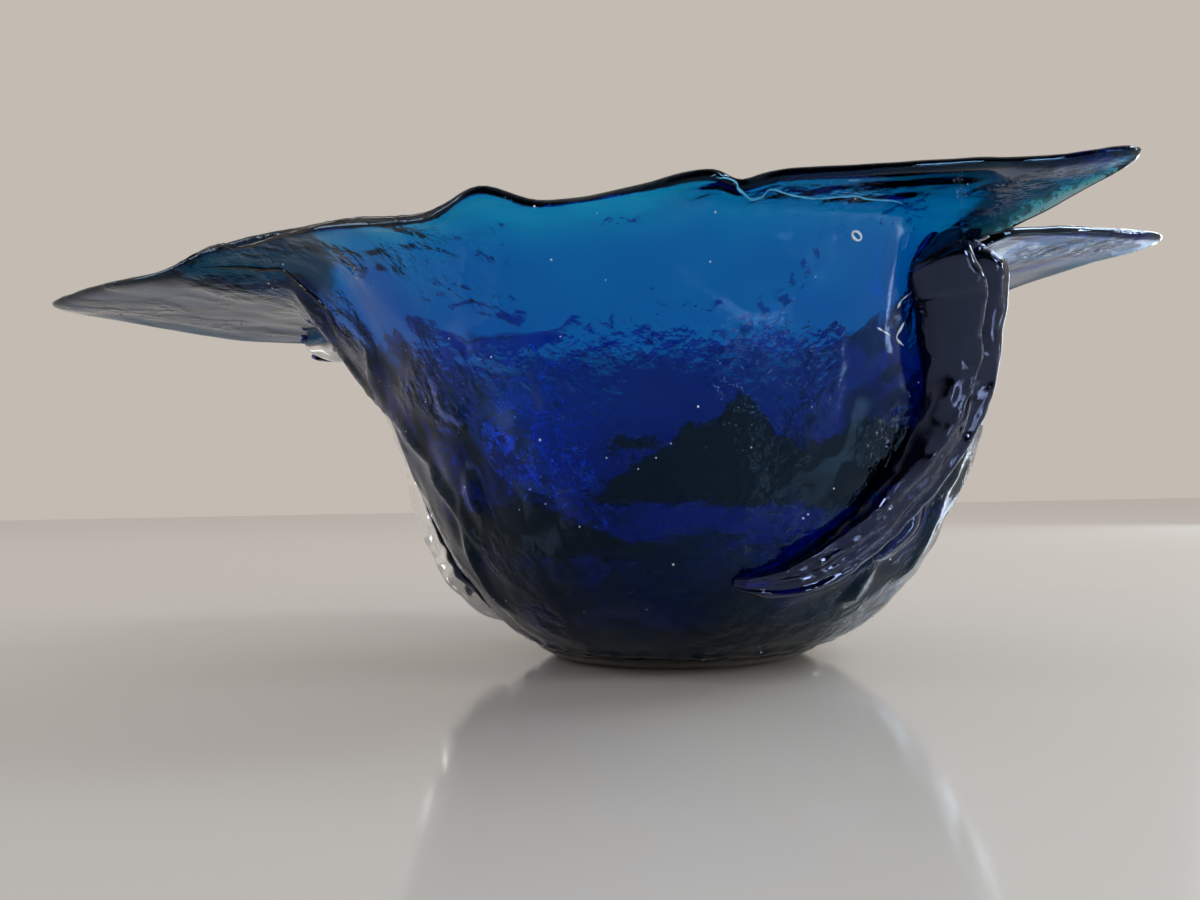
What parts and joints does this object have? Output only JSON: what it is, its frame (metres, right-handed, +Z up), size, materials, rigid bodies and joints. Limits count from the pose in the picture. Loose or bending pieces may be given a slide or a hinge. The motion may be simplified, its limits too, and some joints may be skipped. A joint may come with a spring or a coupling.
{
  "type": "glass sculpture bowl",
  "caption": "Hand-worked blue glass bowl with a folded, winged rim, straps of glass laid down its sides and a thick foot, for standing on a shelf as an ornament or for holding fruit.",
  "frame": {"origin": "on the resting plane, under the middle of the foot", "axes": "+Z up, -Y towards the side seen in the picture, +X to its right, where the rim has two wings"},
  "size_m": [0.4305, 0.2919, 0.157],
  "materials": {
    "bowl_glass": "gloss, transparent cobalt blue, hammered",
    "strap_glass": "gloss, transparent navy, thick",
    "foot_glass": "gloss, near-black where it is thickest"
  },
  "bodies": {
    "root": {"bowl": "bowl_glass", "front_strap": "strap_glass", "back_strap": "strap_glass", "foot_pad": "foot_glass"}
  },
  "joints": []
}
